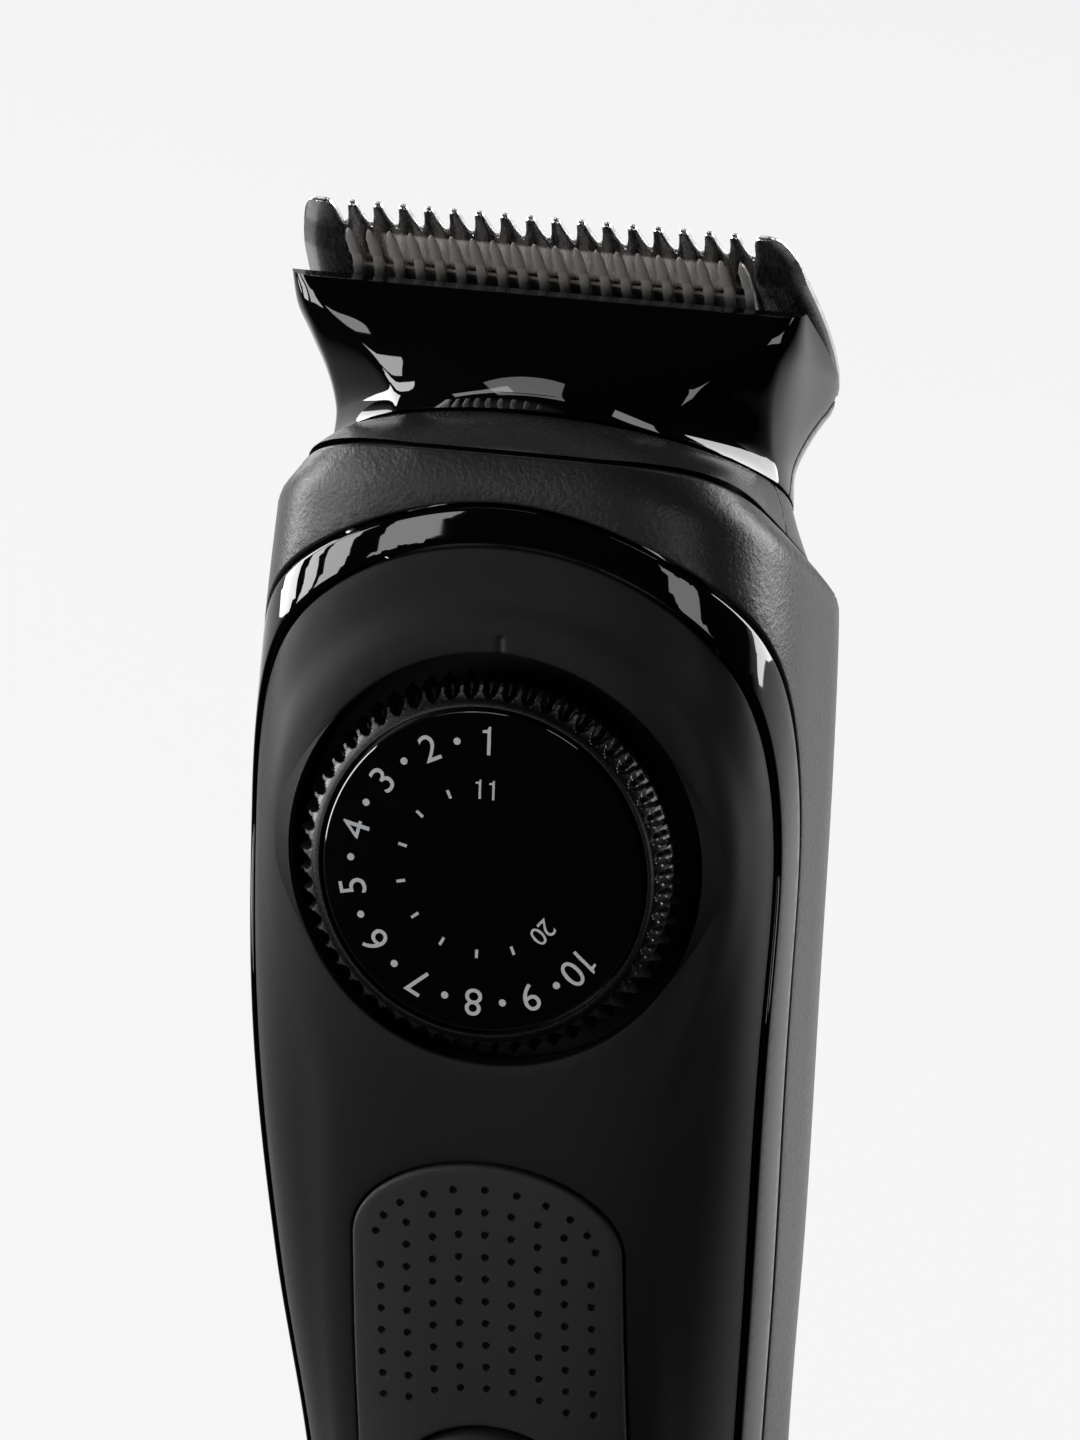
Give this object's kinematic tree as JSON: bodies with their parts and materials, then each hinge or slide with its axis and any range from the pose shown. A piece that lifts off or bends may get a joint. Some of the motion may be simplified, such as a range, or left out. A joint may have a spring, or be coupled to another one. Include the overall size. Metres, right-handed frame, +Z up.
{
  "type": "body groomer",
  "caption": "Cordless hand-held hair trimmer with a slanted toothed blade head, a numbered length dial, a dimpled grip pad, a push button and a charging socket in its flat base.",
  "frame": {"origin": "on the base's underside, below the middle of the whole outline seen from above", "axes": "+Z up from the base to the blade tips, -Y out of the front with the dial and button, +X to the right of a viewer who looks at the front"},
  "size_m": [0.042, 0.043, 0.1592],
  "materials": {
    "shell_black": "fine spark-grain satin black plastic",
    "gloss_black": "polished piano-black plastic",
    "matte_black": "fine matte black plastic",
    "pad_rubber": "soft matte black rubber with rows of shallow dimples",
    "clear_lens": "clear moulded light pipe, slightly frosted",
    "led_body": "small surface-mount light with a pale yellow lens",
    "inner_grey": "plain dark grey moulded plastic",
    "acetal_cream": "natural cream-white low-friction plastic",
    "contact_brass": "bright turned contact pin",
    "zinc_steel": "zinc-plated steel, lightly brushed",
    "spring_steel": "hard bright steel",
    "blade_steel": "ground stainless steel with bright cut edges",
    "nickel_strip": "nickel-plated strip",
    "battery_wrap": "green heat-shrink sleeve",
    "board_green": "green solder-masked circuit board"
  },
  "bodies": {
    "case": {"rear_shell": "shell_black", "bezel_trim": "gloss_black", "front_panel": "matte_black", "grip_pad": "pad_rubber", "light_pipe": "clear_lens", "status_led": "led_body", "base_cap": "matte_black", "charge_socket": "inner_grey", "charge_pin_left": "contact_brass", "charge_pin_right": "contact_brass", "collar_front": "matte_black", "collar_rear": "matte_black", "detent_spring": "spring_steel", "motor_can": "zinc_steel", "motor_end_bell": "inner_grey", "chassis": "inner_grey", "case_screw_1": "zinc_steel", "case_screw_2": "zinc_steel", "case_screw_3": "zinc_steel", "case_screw_4": "zinc_steel", "motor_screw_left": "zinc_steel", "motor_screw_right": "zinc_steel", "battery_cell": "battery_wrap", "battery_tab_top": "nickel_strip", "battery_tab_bottom": "nickel_strip", "circuit_board": "board_green", "power_switch": "nickel_strip"},
    "dial": {"dial_ring": "matte_black", "dial_face": "gloss_black", "dial_cam": "acetal_cream", "dial_screw": "zinc_steel"},
    "comb_carriage": {"comb_carriage": "inner_grey"},
    "power_button": {"power_button": "matte_black"},
    "rotor": {"motor_shaft": "spring_steel", "eccentric_cam": "acetal_cream"},
    "head": {"head_front_housing": "gloss_black", "head_rear_housing": "gloss_black", "fixed_blade": "blade_steel", "blade_screw_left": "zinc_steel", "blade_screw_right": "zinc_steel", "blade_spring": "spring_steel"},
    "moving_blade": {"moving_blade": "blade_steel", "blade_carrier": "inner_grey"}
  },
  "joints": [
    {"name": "dial_turn", "type": "hinge", "parent": "case", "child": "dial", "pos_m": [0, -0.01664, 0.113], "axis": [0, 0.9925, -0.1219], "range_deg": [0, 228.6]},
    {"name": "comb_slide", "type": "slide", "parent": "case", "child": "comb_carriage", "axis": [0, 0.1219, 0.9925], "range_m": [0, 0.00901]},
    {"name": "button_press", "type": "slide", "parent": "case", "child": "power_button", "axis": [0, 1, 0], "range_m": [0, 0.0007], "stiffness_N_per_m": 600, "springref_m": -0.0012},
    {"name": "rotor_spin", "type": "hinge", "parent": "case", "child": "rotor", "pos_m": [0, 0.00356, 0.1], "axis": [0, 0, 1], "continuous": true},
    {"name": "head_release", "type": "slide", "parent": "case", "child": "head", "axis": [0, 0, 1], "range_m": [0, 0.035]},
    {"name": "blade_stroke", "type": "slide", "parent": "head", "child": "moving_blade", "axis": [1, 0, 0], "range_m": [-0.0012, 0.0012]}
  ],
  "couplings": [
    {"joint": "comb_slide", "follows": "dial_turn", "m_per_rad": 0.0022557}
  ]
}
